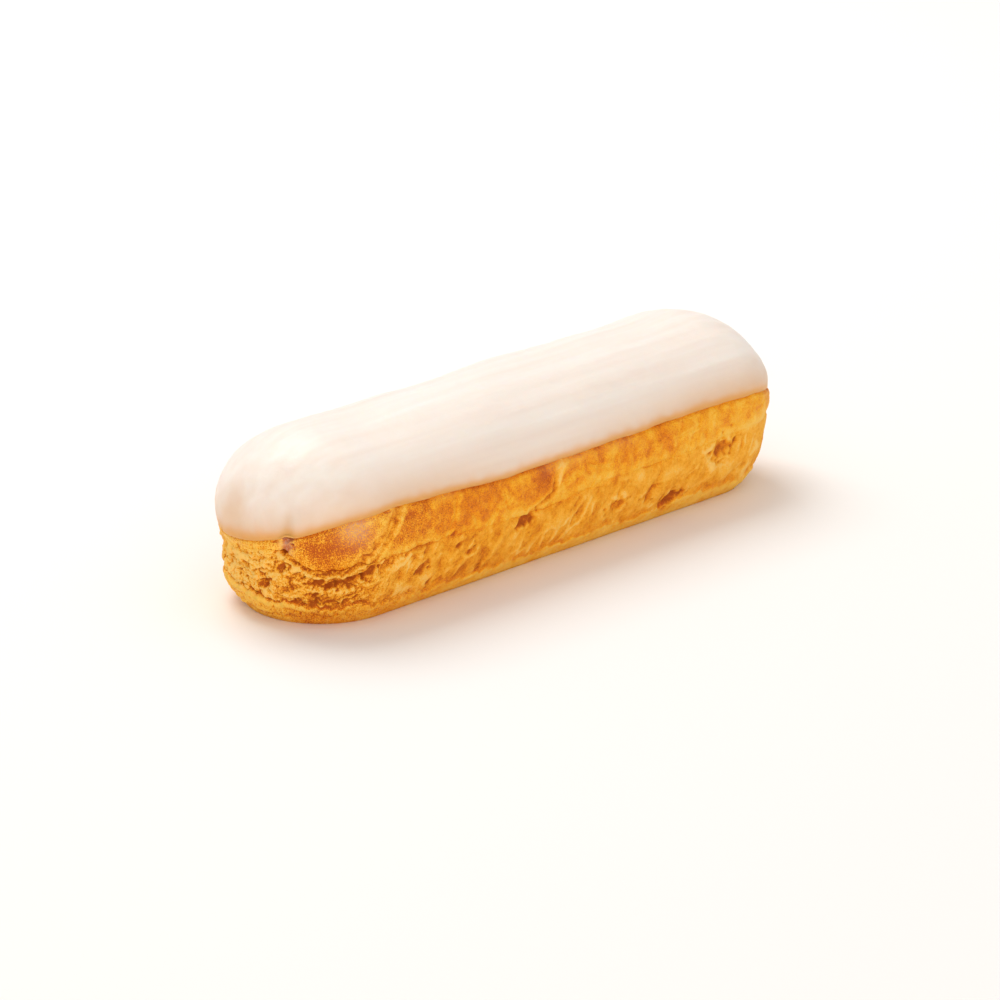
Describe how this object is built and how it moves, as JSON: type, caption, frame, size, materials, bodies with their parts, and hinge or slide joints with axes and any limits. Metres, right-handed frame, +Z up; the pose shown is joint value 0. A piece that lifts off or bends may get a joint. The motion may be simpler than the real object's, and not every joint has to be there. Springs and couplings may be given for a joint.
{
  "type": "eclair",
  "caption": "Iced eclair: a long baked choux bun with rounded ends, a torn flank under a browned cap, and pale fondant icing over the crown.",
  "frame": {"origin": "middle of the outline, on the flat underside", "axes": "+X along the eclair's length, +Z up out of the icing; the end whose icing hangs lowest is at -X"},
  "size_m": [0.1508, 0.0444, 0.0374],
  "materials": {
    "choux_crust": "dry baked crust",
    "fondant": "satin"
  },
  "bodies": {
    "root": {"choux": "choux_crust", "icing": "fondant"}
  },
  "joints": []
}
